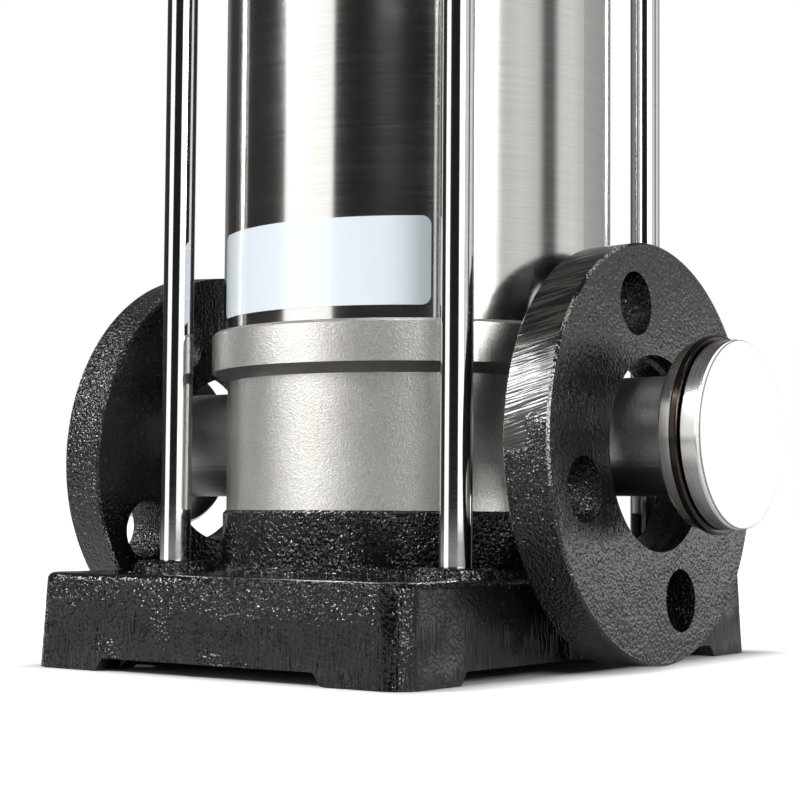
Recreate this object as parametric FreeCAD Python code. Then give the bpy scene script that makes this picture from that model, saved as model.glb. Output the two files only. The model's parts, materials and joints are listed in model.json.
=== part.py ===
import FreeCAD, Part
import math
import os

from FreeCAD import Vector

# Vertical multistage in-line pump with a flange-mounted motor, in millimetres.
# +Z is up along the shaft, the inlet port looks to -X and the outlet port to +X.
# The origin is the middle of the base plate's underside.

# Fits and gaps
FIT = 0.05            # radial gap of a running fit
SEAT = 0.1            # radial gap of a fixed cylindrical seat
LOOSE = 0.3           # gap between pieces that only lie near each other
OVERLAP = 0.5         # how far features of one casting reach into each other

# Base plate
BASE_MARGIN = 17.0
BASE_Y = 226.0
BASE_CORNER_R = 9.0
BASE_TOP_Z = 31.0
BASE_DRAFT = 1.3
BASE_EDGE = 2.5
BASE_WALL = 7.0
BASE_DECK = 10.0
FOOT_SIDE = 33.0
FOOT_NOTCH = 4.0
FOOT_SLANT = 3.0
FOOT_CORNER_R = 1.5
RIB_T = 6.0
COLLAR_STEP = 1.2
COLLAR_TOP_Z = 52.0
COLLAR_WALL = 11.0
COLLAR_DEPTH = 9.0
BOLT_X = 100.0
BOLT_Y = 180.0
BOLT_HOLE_R = 6.5
BOLT_BOSS_R = 12.0

# Staybolts
STAY_TURN = 46.19
STAY_GAP = 6.87
STAY_R = 5.35
STAY_THREAD_R = 5.9
STAY_BOSS_R = 14.5
STAY_BOSS_H = 3.4
STAY_BOSS_SLOPE = 1.2
STAY_BOSS_EDGE = 0.8
STAY_DEPTH = 26.0
STAY_END = 3.5
NUT_FLATS = 18.0
NUT_H = 10.0
WASHER_R = 11.5
WASHER_T = 2.5

# Inlet and outlet casing
CASING_STEP = 1.7
CASING_WALL = 5.8
CASING_FLOOR = 5.0
SPIGOT_H = 6.0
RING_WALL = 4.0
RING_H = 17.2
RING_CHAMFER = 3.3
RING_TOP_Z = 114.0
BOWL_STEP = 6.0
BOWL_WALL = 4.0
BOWL_DROP = 17.0
PORT_Z = 77.0
PORT_BORE_R = 16.0
NECK_WALL = 3.6
NECK_ROOT = 3.5
PORT_FACE_X = 126.5

# Ferrules, retaining rings and port covers
FERRULE_R = 30.4
FERRULE_LEN = 13.8
GROOVE_IN = 4.4
GROOVE_W = 4.0
GROOVE_DEPTH = 3.4
RETAINER_PROUD = 1.7
RETAINER_T = 2.8
RETAINER_EDGE = 0.6
RETAINER_GAP = 9.0
COVER_STEP = 0.2
COVER_T = 1.4
COVER_PLUG_L = 6.0
COVER_PLUG_T = 1.5

# Loose flanges
FLANGE_R = 69.3
FLANGE_T = 16.6
FLANGE_PASS = 0.7
FLANGE_STEP_DEPTH = 5.0
FLANGE_PCD = 100.0
FLANGE_BOLT_R = 10.4
FLANGE_EDGE = 0.8
OUTLET_BACK = 15.2
OUTLET_DROP = 5.6
OUTLET_LEAN = 1.8
OUTLET_TURN = 14.5
INLET_BACK = 6.7
INLET_DROP = 4.5
INLET_LEAN = 2.7
INLET_TURN = -32.5

# Drain, priming and vent plugs
PLUG_R = 6.5
PLUG_BOSS_R = 11.5
PLUG_BOSS_OUT = 5.0
PLUG_FLATS = 17.0
PLUG_HEAD = 7.0
PLUG_COLLAR_R = 10.0
PLUG_COLLAR_T = 2.0
DRAIN_Z = 75.0

# Outer sleeve
SLEEVE_R = 69.0
SLEEVE_WALL = 1.5
SLEEVE_SEAT = 8.0
O_RING_R = 1.08
O_RING_GROOVE = 2.3

# Stages
STAGES = 6
STAGE_PITCH = 27.0
SHEET = 1.5
PASSAGE = 5.5
EYE_R = 20.6
DIFFUSER_Z = 15.5
DIFFUSER_STEP = 6.5
RETURN_VANES = 6
RETURN_IN_R = 24.0
VANE_TURN = 40.0
VANE_SPREAD = 2.0
IMPELLER_STEP = 3.5
SHROUD_T = 1.2
IMPELLER_BLADES = 6
BLADE_LOW = 4.0
BLADE_TOP = 12.5
BLADE_TURN = 62.0
BLADE_SPREAD = 2.0
HUB_WALL = 4.0
HUB_TOP = 15.0
SPACER_WALL = 3.0
BUSH_WALL = 2.0
BUSH_TOP = 23.0
STRAP_W = 10.0
STRAP_T = 1.0
LEG_H = 10.0
LEGS = 4
LEG_W = 16.0

# Shaft, seal and coupling
SHAFT_R = 8.0
SHAFT_REACH = 7.0
SHAFT_COLLAR_H = 7.0
SEAL_ROOM = 7.0
SEAL_PLATE_STEP = 8.0
SEAL_PLATE_T = 7.0
SEAL_SPIGOT = 6.0
SEAT_WALL = 8.0
SEAT_T = 4.0
SEAL_HEAD_WALL = 7.0
SEAL_HEAD_H = 16.0
COUPLING_WALL = 13.5
COUPLING_LOW = 12.0
COUPLING_LEN = 58.0
COUPLING_SPLIT = 1.0
COUPLING_SCREW_R = 3.0
COUPLING_SCREW_IN = 7.5
COUPLING_SCREW_END = 13.0
COUPLING_SCREW_STOP = 8.0
COUPLING_HEAD_R = 4.8
COUPLING_HEAD_H = 5.0
COUPLING_SEAT = 6.0

# Pump head and motor bracket
HEAD_LIP = 8.0
HEAD_GAP = 2.0
HEAD_PLATE = 14.0
LUG_T = 14.0
LUG_R = 14.0
LANTERN_STEP = 9.0
LANTERN_TOP_STEP = 0.5
LANTERN_WALL = 6.0
LANTERN_H = 76.0
LANTERN_SINK = 2.0
STOOL_MARGIN = 5.5
STOOL_FLANGE_T = 11.0
WINDOW_W = 62.0
WINDOW_LOW = 10.0
WINDOW_HIGH = 9.0
WINDOW_CORNER_R = 8.0
GUARD_T = 1.2
GUARD_SPAN = 104.0
GUARD_SLOTS = 5
GUARD_SLOT_H = 4.0
GUARD_SLOT_W = 36.0
GUARD_LOW = 3.0
GUARD_END = 8.0

# Motor
MOTOR_SCREW_PCD = 115.0
MOTOR_FLANGE_MARGIN = 12.5
MOTOR_SCREW_R = 4.0
MOTOR_SCREW_FLATS = 13.0
MOTOR_SCREW_HEAD = 5.5
SHIELD_STEP = 1.0
SHIELD_T = 9.0
SHIELD_RIM = 12.0
SPIGOT_R = 47.5
SPIGOT_T = 3.0
FRAME_R = 66.0
FRAME_WALL = 6.0
FRAME_LEN = 158.0
FIN_H = 13.0
FIN_T = 2.4
FINS = 32
BEARING_WALL = 13.5
BEARING_T = 14.0
BEARING_RING = 4.3
BALL_R = 2.6
BALLS = 8
MOTOR_SHAFT_R = 9.5
BEARING_STEP = 0.5
ROTOR_SHAFT_STEP = 2.0
CORE_WALL = 23.6
AIR_GAP = 0.4
CORE_LEN = 90.0
WINDING_H = 22.0
WINDING_OUT = 4.0
WINDING_IN = 5.0
FAN_SHAFT_STEP = 3.0
FAN_GAP = 18.5
FAN_RISE = 10.0
FAN_H = 20.0
FAN_DISC = 2.5
FAN_HUB_WALL = 6.0
FAN_BLADES = 8
COWL_STEP = 2.0
COWL_WALL = 1.5
COWL_LEN = 96.0
COWL_LAP = 10.0
COWL_EDGE = 9.0
COWL_SLOTS = 20
COWL_SLOT_W = 5.0
COWL_SLOT_IN = 24.0

# Terminal box
BOX_SIDE = 92.0
BOX_DEPTH = 38.0
BOX_WALL = 3.5
BOX_CORNER_R = 8.0
BOX_OFFSET_Z = 64.0
PAD_SIDE = 64.0
PAD_RISE = 5.0
LID_T = 8.0
GLAND_R = 11.0
GLAND_LEN = 16.0
GLAND_FLATS = 26.0
GLAND_NUT_H = 8.0
GLAND_BORE_R = 5.5

# Radii and widths that follow from the sizes above
CASING_R = SLEEVE_R - CASING_STEP
RING_R = SLEEVE_R + RING_WALL
COLLAR_R = CASING_R + COLLAR_STEP
INNER_R = CASING_R - CASING_WALL
SLEEVE_IN_R = SLEEVE_R - SLEEVE_WALL
CHAMBER_R = INNER_R - PASSAGE
BOWL_R = CHAMBER_R - BOWL_STEP
DIFFUSER_R = CHAMBER_R - DIFFUSER_STEP
IMPELLER_R = DIFFUSER_R - IMPELLER_STEP
STAY_X = (RING_R + STAY_GAP + STAY_R) * math.cos(math.radians(STAY_TURN))
STAY_Y = (RING_R + STAY_GAP + STAY_R) * math.sin(math.radians(STAY_TURN))
BASE_X = 2 * (STAY_X + BASE_MARGIN)
NECK_R = PORT_BORE_R + NECK_WALL
GROOVE_R = FERRULE_R - GROOVE_DEPTH
RETAINER_R = FERRULE_R + RETAINER_PROUD
COVER_R = FERRULE_R - COVER_STEP
FLANGE_HOLE_R = FERRULE_R + FLANGE_PASS
FLANGE_STEP_R = RETAINER_R + LOOSE
HUB_R = SHAFT_R + HUB_WALL
SPACER_R = SHAFT_R + SPACER_WALL
BUSH_R = SPACER_R + BUSH_WALL
SEAT_R = SHAFT_R + 1 + SEAT_WALL
SEAL_HEAD_R = SHAFT_R + SEAL_HEAD_WALL
SEAL_BORE_R = SEAT_R + SEAL_ROOM
SEAL_PLATE_R = SEAL_BORE_R + SEAL_PLATE_STEP
COUPLING_R = MOTOR_SHAFT_R + COUPLING_WALL
COUPLING_SCREW_X = COUPLING_R - COUPLING_SCREW_IN
LANTERN_R = RING_R - LANTERN_STEP
LANTERN_RING_R = RING_R - 1
LANTERN_TOP_R = SPIGOT_R + LANTERN_TOP_STEP
MOTOR_FLANGE_R = MOTOR_SCREW_PCD / 2 + MOTOR_FLANGE_MARGIN
STOOL_FLANGE_R = MOTOR_FLANGE_R + STOOL_MARGIN
FIN_R = FRAME_R + FIN_H
SHIELD_R = FIN_R + SHIELD_STEP
COWL_R = SHIELD_R + COWL_STEP
PAD_Y = FIN_R + PAD_RISE
BEARING_BORE_R = MOTOR_SHAFT_R + BEARING_STEP
BEARING_R = BEARING_BORE_R + BEARING_WALL
ROTOR_SHAFT_R = BEARING_BORE_R + ROTOR_SHAFT_STEP
FAN_SHAFT_R = BEARING_BORE_R - FAN_SHAFT_STEP
FAN_HUB_R = FAN_SHAFT_R + FAN_HUB_WALL
FAN_R = COWL_R - COWL_WALL - FAN_GAP
COWL_SLOT_OUT = FAN_R
CORE_BORE_R = FRAME_R - FRAME_WALL - CORE_WALL
ROTOR_R = CORE_BORE_R - AIR_GAP
WINDING_R = FRAME_R - FRAME_WALL - WINDING_OUT
WINDING_IN_R = ROTOR_R + WINDING_IN

# Heights and places along the ports that follow from the sizes above
COLLAR_DECK_Z = COLLAR_TOP_Z - COLLAR_DEPTH
RING_LOW_Z = RING_TOP_Z - RING_H
BOWL_TOP_Z = RING_TOP_Z - BOWL_DROP
SHAFT_LOW_Z = BOWL_TOP_Z - SHAFT_REACH
STACK_Z = BOWL_TOP_Z + SHEET
STACK_TOP_Z = STACK_Z + STAGES * STAGE_PITCH
HEAD_PLATE_Z = STACK_TOP_Z + SHEET + LEG_H
SLEEVE_LOW_Z = RING_TOP_Z - SLEEVE_SEAT
SLEEVE_TOP_Z = HEAD_PLATE_Z - HEAD_GAP
HEAD_LOW_Z = SLEEVE_TOP_Z - HEAD_LIP
HEAD_TOP_Z = HEAD_PLATE_Z + HEAD_PLATE
LUG_TOP_Z = HEAD_TOP_Z + LUG_T
LANTERN_Z = HEAD_TOP_Z + LUG_T - LANTERN_SINK
STOOL_Z = LANTERN_Z + LANTERN_H
MOTOR_Z = STOOL_Z + STOOL_FLANGE_T
SHIELD_TOP_Z = MOTOR_Z + SHIELD_T + SHIELD_RIM
FRAME_TOP_Z = SHIELD_TOP_Z + FRAME_LEN
REAR_TOP_Z = FRAME_TOP_Z + SHIELD_RIM
CORE_Z = SHIELD_TOP_Z + (FRAME_LEN - CORE_LEN) / 2
FRONT_BEARING_Z = MOTOR_Z + 5.0
REAR_BEARING_Z = REAR_TOP_Z - BEARING_T - 2.0
FAN_Z = REAR_TOP_Z + FAN_RISE
COWL_Z = REAR_TOP_Z - COWL_LAP
COWL_TOP_Z = COWL_Z + COWL_LEN
COUPLING_Z = HEAD_TOP_Z + SEAL_PLATE_T + COUPLING_LOW
COUPLING_TOP_Z = COUPLING_Z + COUPLING_LEN
SHAFT_SPLIT_Z = COUPLING_Z + COUPLING_LEN / 2
SEAL_FACE_Z = HEAD_TOP_Z - SEAL_SPIGOT - SEAT_T - FIT
SEAL_HEAD_Z = SEAL_FACE_Z - SEAL_HEAD_H
HEAD_PLUG_Z = HEAD_TOP_Z - PLUG_BOSS_R - OVERLAP
BOX_Z = SHIELD_TOP_Z + BOX_OFFSET_Z
FERRULE_X = PORT_FACE_X - FERRULE_LEN


def cylinder(radius, low, high, x=0.0, y=0.0):
    """A cylinder standing on Z between two heights."""
    return Part.makeCylinder(radius, high - low, Vector(x, y, low))


def tube(outer, inner, low, high, x=0.0, y=0.0):
    """A pipe length standing on Z."""
    return cylinder(outer, low, high, x, y).cut(cylinder(inner, low - 1, high + 1, x, y))


def box(x0, x1, y0, y1, z0, z1):
    """A block between two corners."""
    return Part.makeBox(x1 - x0, y1 - y0, z1 - z0, Vector(x0, y0, z0))


def turned(profile):
    """A solid turned about Z from its (radius, height) corners."""
    points = [Vector(radius, 0, height) for radius, height in profile]
    face = Part.Face(Part.makePolygon(points + points[:1]))
    return face.revolve(Vector(0, 0, 0), Vector(0, 0, 1), 360)


def hexagon(flats, low, high, x=0.0, y=0.0):
    """A hexagonal prism standing on Z."""
    reach = flats / math.sqrt(3)
    points = []
    for step in range(7):
        angle = math.radians(60 * step)
        points.append(Vector(x + reach * math.cos(angle), y + reach * math.sin(angle), low))
    return Part.Face(Part.makePolygon(points)).extrude(Vector(0, 0, high - low))


def rounded_block(size_x, size_y, radius, low, high):
    """An upright block with round corners, centred on Z."""
    block = box(-size_x / 2, size_x / 2, -size_y / 2, size_y / 2, low, high)
    upright = [edge for edge in block.Edges if abs(edge.Length - (high - low)) < 1e-6 and is_upright(edge)]
    return block.makeFillet(radius, upright)


def is_upright(edge):
    """Whether a straight edge runs along Z."""
    start = edge.Vertexes[0].Point
    end = edge.Vertexes[-1].Point
    return abs(start.x - end.x) < 1e-6 and abs(start.y - end.y) < 1e-6


def rounded_outline(size_x, size_y, radius, height):
    """The closed wire of a rectangle with round corners."""
    block = rounded_block(size_x, size_y, radius, height, height + 1)
    lowest = min(block.Faces, key=lambda face: face.CenterOfMass.z)
    return lowest.OuterWire


def fused(shapes):
    """One solid from several that overlap."""
    return shapes[0].multiFuse(shapes[1:]).removeSplitter()


def ring_of(shape, count, first=0.0):
    """Copies of a shape spread evenly about Z."""
    copies = []
    for index in range(count):
        copies.append(turned_by(shape, first + 360.0 * index / count))
    return copies


def turned_by(shape, degrees):
    """A copy of a shape turned about Z."""
    copy = shape.copy()
    copy.rotate(Vector(0, 0, 0), Vector(0, 0, 1), degrees)
    return copy


def moved(shape, x=0.0, y=0.0, z=0.0):
    """A copy of a shape shifted."""
    copy = shape.copy()
    copy.translate(Vector(x, y, z))
    return copy


def along_x(shape, x=0.0, z=0.0):
    """A shape drawn about Z, laid down so that its +Z looks to +X."""
    copy = shape.copy()
    copy.rotate(Vector(0, 0, 0), Vector(0, 1, 0), 90)
    copy.translate(Vector(x, 0, z))
    return copy


def along_y(shape, y=0.0, z=0.0, x=0.0):
    """A shape drawn about Z, laid down so that its +Z looks to +Y."""
    copy = shape.copy()
    copy.rotate(Vector(0, 0, 0), Vector(1, 0, 0), -90)
    copy.translate(Vector(x, y, z))
    return copy


def mirrored(shape):
    """The other port's copy, on the -X side."""
    return turned_by(shape, 180)


def stay_places():
    """Where the four staybolts stand."""
    return [(sx * STAY_X, sy * STAY_Y) for sx in (-1, 1) for sy in (-1, 1)]


def save(node, *shapes):
    """Writes one sub-part, checked to be closed and valid."""
    solids = []
    for shape in shapes:
        solids.extend(shape.Solids)
    for solid in solids:
        assert solid.isValid() and solid.Volume > 0, node
    whole = solids[0] if len(solids) == 1 else Part.makeCompound(solids)
    whole.exportStep("parts/" + node + ".step")


def base_plate():
    """The cast base: drafted block on four feet, hollow and ribbed below, with a round collar on top."""
    low = rounded_outline(BASE_X, BASE_Y, BASE_CORNER_R, 0)
    top = rounded_outline(BASE_X - 2 * BASE_DRAFT, BASE_Y - 2 * BASE_DRAFT, BASE_CORNER_R, BASE_TOP_Z)
    block = Part.makeLoft([low, top], True, True)
    rim = [edge for edge in block.Edges if min(v.Point.z for v in edge.Vertexes) > BASE_TOP_Z - 0.1]
    block = block.makeFillet(BASE_EDGE, rim)
    adds = [block]
    adds.append(turned([(0, BASE_TOP_Z - OVERLAP), (COLLAR_R + 2, BASE_TOP_Z - OVERLAP), (COLLAR_R + 2, BASE_TOP_Z),
                        (COLLAR_R, BASE_TOP_Z + 2), (COLLAR_R, COLLAR_TOP_Z - 1), (COLLAR_R - 1, COLLAR_TOP_Z),
                        (0, COLLAR_TOP_Z)]))
    boss = turned([(0, BASE_TOP_Z - OVERLAP), (STAY_BOSS_R, BASE_TOP_Z - OVERLAP), (STAY_BOSS_R, BASE_TOP_Z),
                   (STAY_BOSS_R - STAY_BOSS_SLOPE, BASE_TOP_Z + STAY_BOSS_H), (0, BASE_TOP_Z + STAY_BOSS_H)])
    boss = boss.makeChamfer(STAY_BOSS_EDGE, [top_edge(boss)])
    for x, y in stay_places():
        adds.append(moved(boss, x, y))
    body = fused(adds)
    pocket = rounded_block(BASE_X - 2 * BASE_WALL, BASE_Y - 2 * BASE_WALL, BASE_CORNER_R / 2, -1,
                           BASE_TOP_Z - BASE_DECK)
    keeps = [box(-RIB_T / 2, RIB_T / 2, -BASE_Y / 2, BASE_Y / 2, 0, BASE_TOP_Z)]
    for step in (-1, 0, 1):
        y = step * BASE_Y / 4
        keeps.append(box(-BASE_X / 2, BASE_X / 2, y - RIB_T / 2, y + RIB_T / 2, 0, BASE_TOP_Z))
    for sx in (-1, 1):
        for sy in (-1, 1):
            keeps.append(cylinder(BOLT_BOSS_R, 0, BASE_TOP_Z, sx * BOLT_X / 2, sy * BOLT_Y / 2))
    for x, y in stay_places():
        keeps.append(cylinder(STAY_BOSS_R, 0, BASE_TOP_Z, x, y))
    body = body.cut(pocket.cut(keeps[0].multiFuse(keeps[1:])))
    cuts = [cylinder(COLLAR_R - COLLAR_WALL, COLLAR_DECK_Z, COLLAR_TOP_Z + 1)]
    cuts.append(foot_notch(BASE_X / 2 - FOOT_SIDE))
    cuts.append(turned_by(foot_notch(BASE_Y / 2 - FOOT_SIDE), 90))
    for sx in (-1, 1):
        for sy in (-1, 1):
            cuts.append(cylinder(BOLT_HOLE_R, -1, BASE_TOP_Z + 1, sx * BOLT_X / 2, sy * BOLT_Y / 2))
    for x, y in stay_places():
        top_z = BASE_TOP_Z + STAY_BOSS_H
        cuts.append(cylinder(STAY_THREAD_R + SEAT, top_z - STAY_DEPTH, top_z + 1, x, y))
    save("base_plate", body.cut(cuts[0].multiFuse(cuts[1:])))


def foot_notch(half):
    """A notch between two feet that runs along Y, wider at the ground, with round corners above."""
    ground = half + FOOT_SLANT
    corners = [Vector(-ground, 0, -1), Vector(ground, 0, -1), Vector(ground, 0, 0), Vector(half, 0, FOOT_NOTCH),
               Vector(-half, 0, FOOT_NOTCH), Vector(-ground, 0, 0), Vector(-ground, 0, -1)]
    notch = Part.Face(Part.makePolygon(corners)).extrude(Vector(0, 2 * BASE_Y, 0))
    upper = [edge for edge in notch.Edges
             if abs(edge.CenterOfMass.z - FOOT_NOTCH) < 1e-6 and abs(abs(edge.CenterOfMass.x) - half) < 1e-6]
    return moved(notch.makeFillet(FOOT_CORNER_R, upper), 0, -BASE_Y)


def top_edge(shape):
    """The highest closed round edge of an upright shape."""
    rounds = [edge for edge in shape.Edges if len(edge.Vertexes) == 1]
    return max(rounds, key=lambda edge: edge.CenterOfMass.z)


def plug_boss(reach, low):
    """A round boss about Z between two heights, for a plug."""
    return cylinder(PLUG_BOSS_R, low, reach)


def plug(face):
    """A hexagon plug with its collar, screwed in down from a face at the given height."""
    thread = cylinder(PLUG_R, face - PLUG_HEAD - 1, face + OVERLAP)
    collar = cylinder(PLUG_COLLAR_R, face, face + PLUG_COLLAR_T)
    head = hexagon(PLUG_FLATS, face + PLUG_COLLAR_T - OVERLAP, face + PLUG_COLLAR_T + PLUG_HEAD)
    return fused([thread, collar, head])


def neck_root():
    """The hollow-rounded swelling where a neck grows out of the casing's wall."""
    start = math.sqrt(CASING_R ** 2 - (NECK_R + NECK_ROOT) ** 2) - OVERLAP
    middle = Vector(NECK_R + NECK_ROOT * (1 - math.sin(math.pi / 4)), 0,
                    start + NECK_ROOT * (1 - math.cos(math.pi / 4)) + OVERLAP)
    foot = Vector(NECK_R + NECK_ROOT, 0, start + OVERLAP)
    end = Vector(NECK_R, 0, start + OVERLAP + NECK_ROOT)
    inside = INNER_R + 1
    curve = Part.Arc(foot, middle, end).toShape()
    rest = Part.makePolygon([end, Vector(NECK_R - 1, 0, end.z), Vector(NECK_R - 1, 0, inside),
                             Vector(foot.x, 0, inside), foot])
    face = Part.Face(Part.Wire([curve] + rest.Edges))
    return face.revolve(Vector(0, 0, 0), Vector(0, 0, 1), 360)


def casing():
    """The cast casing: outer wall, floor, inlet bowl, the two necks and the top ring that takes the sleeve."""
    low = COLLAR_TOP_Z
    floor = low + CASING_FLOOR
    shell = turned([(0, low - SPIGOT_H), (COLLAR_R - COLLAR_WALL - SEAT, low - SPIGOT_H),
                    (COLLAR_R - COLLAR_WALL - SEAT, low), (CASING_R, low), (CASING_R, RING_LOW_Z),
                    (RING_R, RING_LOW_Z + RING_CHAMFER), (RING_R, RING_TOP_Z - 1), (RING_R - 1, RING_TOP_Z),
                    (SLEEVE_R + SEAT, RING_TOP_Z), (SLEEVE_R + SEAT, SLEEVE_LOW_Z), (SLEEVE_IN_R, SLEEVE_LOW_Z),
                    (INNER_R, SLEEVE_LOW_Z - 4), (INNER_R, floor), (0, floor)])
    bowl = tube(BOWL_R, BOWL_R - BOWL_WALL, floor - OVERLAP, BOWL_TOP_Z)
    outlet = along_x(cylinder(NECK_R, INNER_R + 1, PORT_FACE_X), 0, PORT_Z)
    inlet = mirrored(along_x(cylinder(NECK_R, BOWL_R - BOWL_WALL + 1, PORT_FACE_X), 0, PORT_Z))
    root = along_x(neck_root(), 0, PORT_Z)
    boss = along_y(plug_boss(CASING_R + PLUG_BOSS_OUT, INNER_R + 1), 0, DRAIN_Z)
    body = fused([shell, bowl, outlet, inlet, root, mirrored(root), boss])
    cuts = []
    cuts.append(along_x(cylinder(PORT_BORE_R, BOWL_R + 1, PORT_FACE_X + 1), 0, PORT_Z))
    cuts.append(mirrored(along_x(cylinder(PORT_BORE_R, BOWL_R - 3 * BOWL_WALL, PORT_FACE_X + 1), 0, PORT_Z)))
    cuts.append(along_y(cylinder(PLUG_R + SEAT, BOWL_R + 3, CASING_R + PLUG_BOSS_OUT + 1), 0, DRAIN_Z))
    groove_z = (SLEEVE_LOW_Z + RING_TOP_Z) / 2
    cuts.append(tube(SLEEVE_R + SEAT + O_RING_GROOVE, SLEEVE_R, groove_z - O_RING_R - FIT, groove_z + O_RING_R + FIT))
    save("inlet_outlet_casing", body.cut(cuts[0].multiFuse(cuts[1:])))


def ferrules():
    """The two turned ends on the necks, each with a land, a groove and a front land."""
    bore = NECK_R + FIT
    groove = FERRULE_X + GROOVE_IN
    end = turned([(bore, FERRULE_X), (FERRULE_R - 1, FERRULE_X), (FERRULE_R, FERRULE_X + 1),
                  (FERRULE_R, groove), (GROOVE_R, groove), (GROOVE_R, groove + GROOVE_W),
                  (FERRULE_R, groove + GROOVE_W), (FERRULE_R, PORT_FACE_X - OVERLAP),
                  (FERRULE_R - OVERLAP, PORT_FACE_X), (bore, PORT_FACE_X)])
    outlet = along_x(end, 0, PORT_Z)
    save("nozzle_ferrules", mirrored(outlet), outlet)


def retaining_rings():
    """The open spring rings that lie in the ferrules' grooves."""
    middle = FERRULE_X + GROOVE_IN + GROOVE_W / 2
    ring = tube(RETAINER_R, GROOVE_R + SEAT, middle - RETAINER_T / 2, middle + RETAINER_T / 2)
    rims = [edge for edge in ring.Edges if abs(edge.Length - 2 * math.pi * RETAINER_R) < 1e-3]
    ring = ring.makeFillet(RETAINER_EDGE, rims)
    gap = box(0, 2 * RETAINER_R, -RETAINER_GAP / 2, RETAINER_GAP / 2, middle - RETAINER_T, middle + RETAINER_T)
    outlet = along_x(turned_by(ring.cut(gap), 110), 0, PORT_Z)
    save("retaining_rings", mirrored(outlet), outlet)


def port_cover():
    """A thin disc over the port's face, with a short collar that plugs into the bore."""
    disc = cylinder(COVER_R, PORT_FACE_X, PORT_FACE_X + COVER_T)
    disc = disc.makeFillet(COVER_T / 2, [top_edge(disc)])
    outer = PORT_BORE_R - LOOSE
    collar = tube(outer, outer - COVER_PLUG_T, PORT_FACE_X - COVER_PLUG_L, PORT_FACE_X + OVERLAP)
    return along_x(fused([disc, collar]), 0, PORT_Z)


def loose_flange(slid_back, drop, lean, turn):
    """A round flange with four holes and a coned seat, slid back on its neck, lower than the port and leaning."""
    face = FERRULE_X - slid_back
    height = PORT_Z - drop
    back = face - FLANGE_T
    step = face - FLANGE_STEP_DEPTH
    disc = turned([(FLANGE_HOLE_R, back), (FLANGE_R - FLANGE_EDGE, back), (FLANGE_R, back + FLANGE_EDGE),
                   (FLANGE_R, face - FLANGE_EDGE), (FLANGE_R - FLANGE_EDGE, face),
                   (FLANGE_STEP_R, face), (FLANGE_STEP_R, step),
                   (FLANGE_HOLE_R, step - (FLANGE_STEP_R - FLANGE_HOLE_R))])
    hole = cylinder(FLANGE_BOLT_R, back - 1, face + 1, -FLANGE_PCD / 2, 0)
    holes = ring_of(hole, 4, turn)
    flange = along_x(disc.cut(holes[0].multiFuse(holes[1:])), 0, height)
    flange.rotate(Vector(face, 0, height), Vector(0, 1, 0), -lean)
    return flange


def plugs():
    """The drain plug at the back, and the priming and vent plugs in the pump head."""
    save("drain_plug", along_y(plug(CASING_R + PLUG_BOSS_OUT), 0, DRAIN_Z))
    front = along_y(plug(RING_R + PLUG_BOSS_OUT), 0, HEAD_PLUG_Z)
    save("priming_plug", mirrored(front))
    save("vent_plug", front)


def sleeve():
    """The pressed outer sleeve and the ring seals at its two ends."""
    save("outer_sleeve", tube(SLEEVE_R, SLEEVE_IN_R, SLEEVE_LOW_Z, SLEEVE_TOP_Z))
    rings = []
    for height in ((SLEEVE_LOW_Z + RING_TOP_Z) / 2, (HEAD_LOW_Z + SLEEVE_TOP_Z) / 2):
        rings.append(Part.makeTorus(SLEEVE_R + SEAT + O_RING_R, O_RING_R, Vector(0, 0, height)))
    save("sleeve_o_rings", *rings)


def staybolts():
    """Four long bolts from the base to the bracket's lugs, with washers and nuts on top."""
    bolts = []
    washers = []
    nuts = []
    foot = BASE_TOP_Z + STAY_BOSS_H
    washer_top = LUG_TOP_Z + WASHER_T
    end = washer_top + NUT_H + STAY_END
    for x, y in stay_places():
        thread = cylinder(STAY_THREAD_R, foot - STAY_DEPTH + 1, foot - 2, x, y)
        shank = cylinder(STAY_R, foot - 3, HEAD_LOW_Z, x, y)
        upper = cylinder(STAY_THREAD_R, HEAD_LOW_Z - 1, end, x, y)
        upper = upper.makeChamfer(1.0, [top_edge(upper)])
        bolts.append(fused([thread, shank, upper]))
        washers.append(tube(WASHER_R, STAY_THREAD_R + SEAT, LUG_TOP_Z, washer_top, x, y))
        nut = hexagon(NUT_FLATS, washer_top, washer_top + NUT_H, x, y)
        nuts.append(nut.cut(cylinder(STAY_THREAD_R + SEAT, washer_top - 1, end, x, y)))
    save("staybolts", *bolts)
    save("staybolt_washers", *washers)
    save("staybolt_nuts", *nuts)


def arc_blade(inner, outer, turn, spread, low, high):
    """A curved blade between two radii, as thick as its two faces stand apart in degrees."""
    def place(radius, degrees):
        angle = math.radians(degrees)
        return Vector(radius * math.cos(angle), radius * math.sin(angle), low)
    middle = (inner + outer) / 2
    first = Part.Arc(place(inner, 0), place(middle, turn * 0.42), place(outer, turn)).toShape()
    back = Part.Arc(place(outer, turn + spread), place(middle, turn * 0.42 + spread), place(inner, spread)).toShape()
    tip = Part.makeLine(place(outer, turn), place(outer, turn + spread))
    root = Part.makeLine(place(inner, spread), place(inner, 0))
    return Part.Face(Part.Wire([first, tip, back, root])).extrude(Vector(0, 0, high - low))


def chamber(low):
    """One stage's chamber: wall, bottom with the eye, diffuser plate and return vanes."""
    wall = tube(CHAMBER_R, CHAMBER_R - SHEET, low, low + STAGE_PITCH)
    bottom = tube(CHAMBER_R - SHEET + OVERLAP, EYE_R, low, low + SHEET)
    plate = tube(DIFFUSER_R, BUSH_R + FIT, low + DIFFUSER_Z, low + DIFFUSER_Z + SHEET)
    vane = arc_blade(RETURN_IN_R, CHAMBER_R - OVERLAP, VANE_TURN, VANE_SPREAD,
                     low + DIFFUSER_Z + SHEET - OVERLAP, low + STAGE_PITCH)
    return fused([wall, bottom, plate] + ring_of(vane, RETURN_VANES))


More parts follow.
